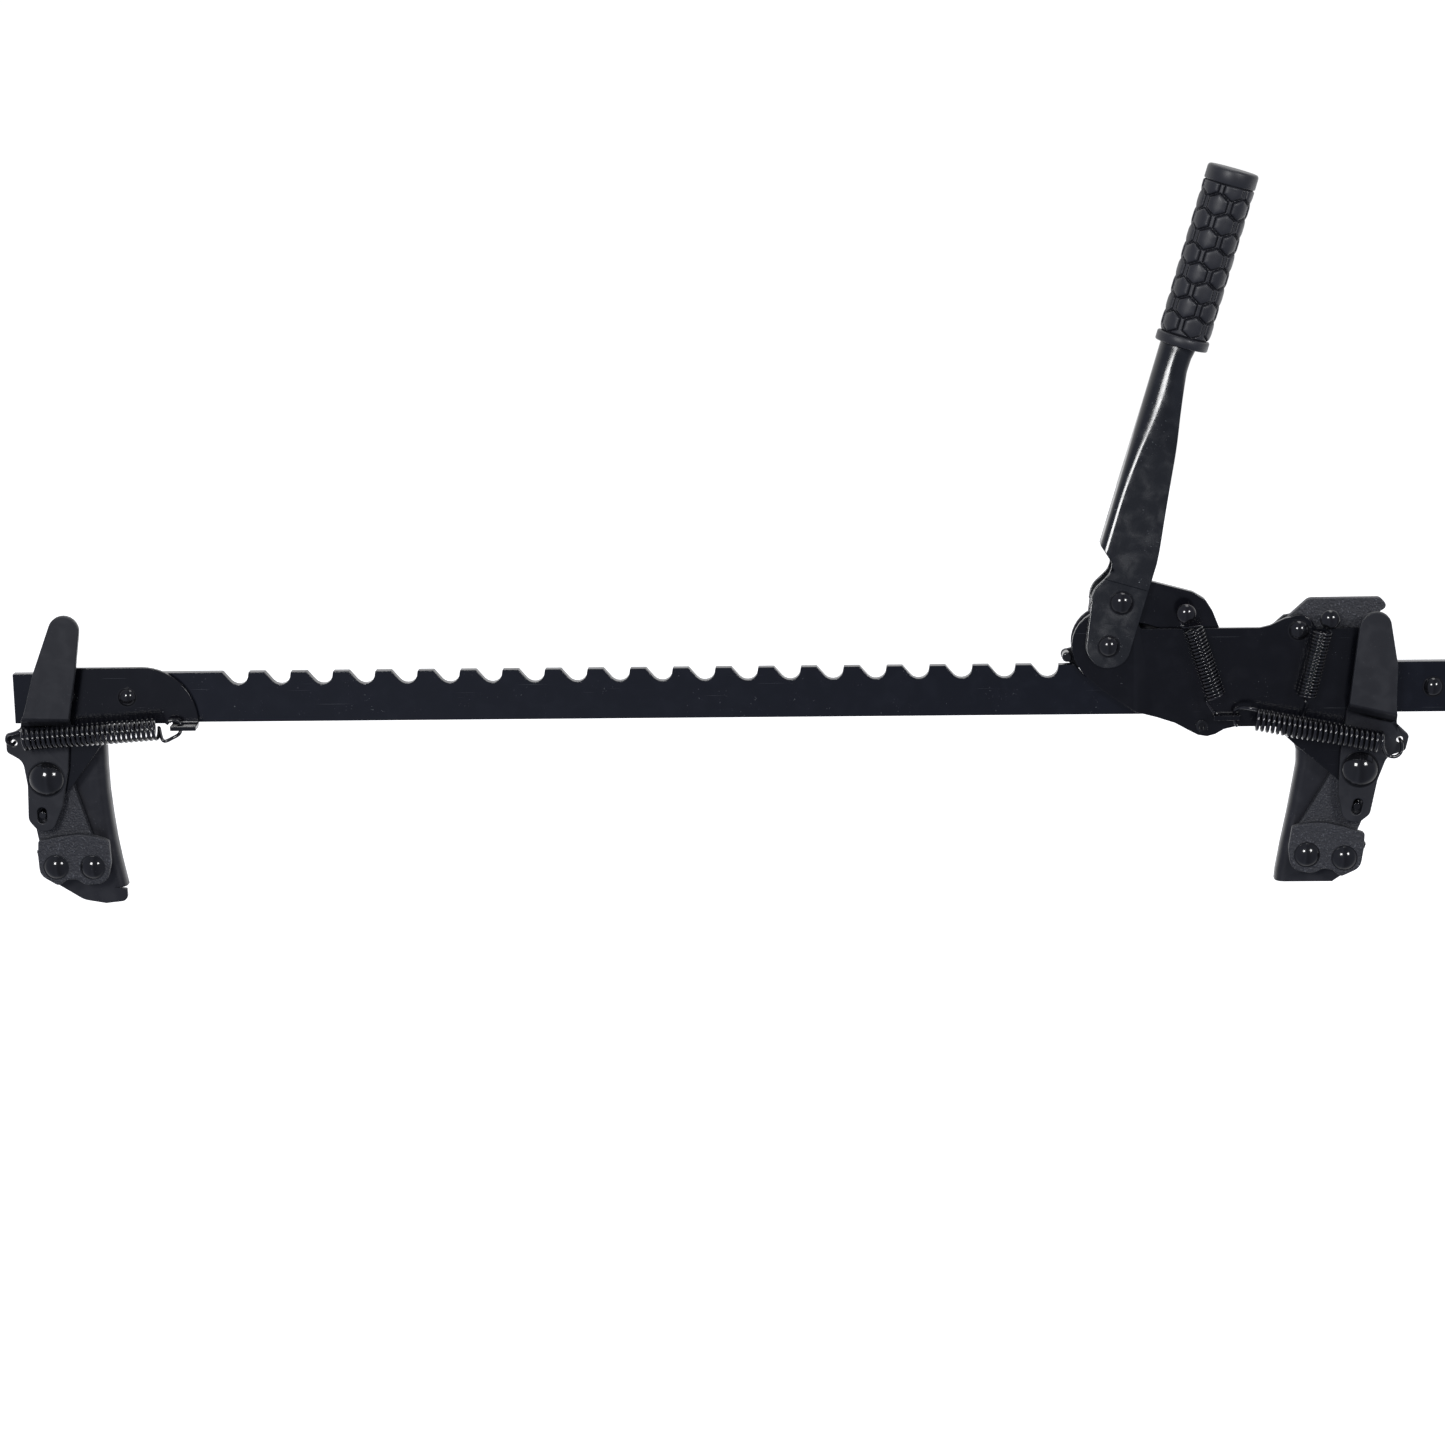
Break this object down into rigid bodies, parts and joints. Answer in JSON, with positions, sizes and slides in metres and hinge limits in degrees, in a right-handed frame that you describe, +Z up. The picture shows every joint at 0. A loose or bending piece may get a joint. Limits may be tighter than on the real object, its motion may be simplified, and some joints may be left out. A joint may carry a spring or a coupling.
{
  "type": "fence wire stretcher",
  "caption": "Fence wire stretcher: notched flat bar with a fixed wire grip at one end and a ratcheting carriage with a second wire grip, two sprung pawls and a lever handle.",
  "frame": {"origin": "middle of the bar's left end face, at the fixed wire grip", "axes": "+X along the bar towards its free tail, +Y from the user's side to the back, +Z up towards the handle and the notches"},
  "size_m": [0.9249, 0.0426, 0.4612],
  "materials": {
    "gloss_paint": "gloss",
    "satin_paint": "satin",
    "cast_iron": "grainy black",
    "spring_steel": "black oiled",
    "rubber": "matte"
  },
  "bodies": {
    "bar": {"notched_bar": "gloss_paint", "tail_stop_rivet": "gloss_paint", "left_front_plate": "gloss_paint", "left_back_plate": "gloss_paint", "left_frame_rivet_1": "gloss_paint", "left_frame_rivet_2": "gloss_paint", "left_grip_block": "cast_iron", "left_block_rivet_1": "gloss_paint", "left_block_rivet_2": "gloss_paint", "left_pivot_rivet": "gloss_paint", "left_grip_spring": "spring_steel"},
    "left_grip": {"left_thumb_lever": "satin_paint", "left_cam": "cast_iron", "left_cam_pin": "gloss_paint"},
    "carriage": {"carriage_front_plate": "gloss_paint", "carriage_back_plate": "gloss_paint", "handle_pivot_rivet": "gloss_paint", "holding_pawl_rivet": "gloss_paint", "bar_guide_pin": "gloss_paint", "tubular_rivet": "gloss_paint", "spacer_sleeve": "gloss_paint", "right_grip_block": "cast_iron", "right_block_rivet_1": "gloss_paint", "right_block_rivet_2": "gloss_paint", "right_pivot_rivet": "gloss_paint", "right_grip_spring": "spring_steel", "drive_pawl_spring": "spring_steel", "holding_pawl_spring": "spring_steel"},
    "right_grip": {"right_thumb_lever": "satin_paint", "right_cam": "cast_iron", "right_cam_pin": "gloss_paint"},
    "handle": {"handle_channel": "gloss_paint", "rubber_grip": "rubber", "handle_pawl_rivet": "gloss_paint"},
    "drive_pawl": {"drive_pawl": "gloss_paint", "drive_pawl_stud": "gloss_paint"},
    "holding_pawl": {"holding_pawl": "cast_iron", "holding_pawl_stud": "gloss_paint"}
  },
  "joints": [
    {"name": "left_grip_hinge", "type": "hinge", "parent": "bar", "child": "left_grip", "pos_m": [0.0196, 0, -0.0505], "axis": [0, -1, 0], "range_deg": [0, 20], "stiffness_Nm_per_rad": 1, "springref_deg": -28.65, "deforming": ["left_grip_spring"]},
    {"name": "carriage_slide", "type": "slide", "parent": "bar", "child": "carriage", "axis": [1, 0, 0], "range_m": [-0.536, 0]},
    {"name": "right_grip_hinge", "type": "hinge", "parent": "carriage", "child": "right_grip", "pos_m": [0.8468, 0, -0.0506], "axis": [0, 1, 0], "range_deg": [0, 20], "stiffness_Nm_per_rad": 1, "springref_deg": -28.65, "deforming": ["right_grip_spring"]},
    {"name": "handle_swing", "type": "hinge", "parent": "carriage", "child": "handle", "pos_m": [0.6902, 0, 0.029], "axis": [0, 1, 0], "range_deg": [-48, 18]},
    {"name": "drive_pawl_slide", "type": "slide", "parent": "carriage", "child": "drive_pawl", "axis": [1, 0, 0], "range_m": [-0.0226, 0.0086], "deforming": ["drive_pawl_spring"]},
    {"name": "holding_pawl_hinge", "type": "hinge", "parent": "carriage", "child": "holding_pawl", "pos_m": [0.808, 0, 0.0372], "axis": [0, -1, 0], "range_deg": [-12, 15], "stiffness_Nm_per_rad": 0.3, "springref_deg": -34.38, "deforming": ["holding_pawl_spring"]}
  ],
  "couplings": [
    {"joint": "drive_pawl_slide", "follows": "handle_swing", "m_per_rad": 0.0268}
  ]
}
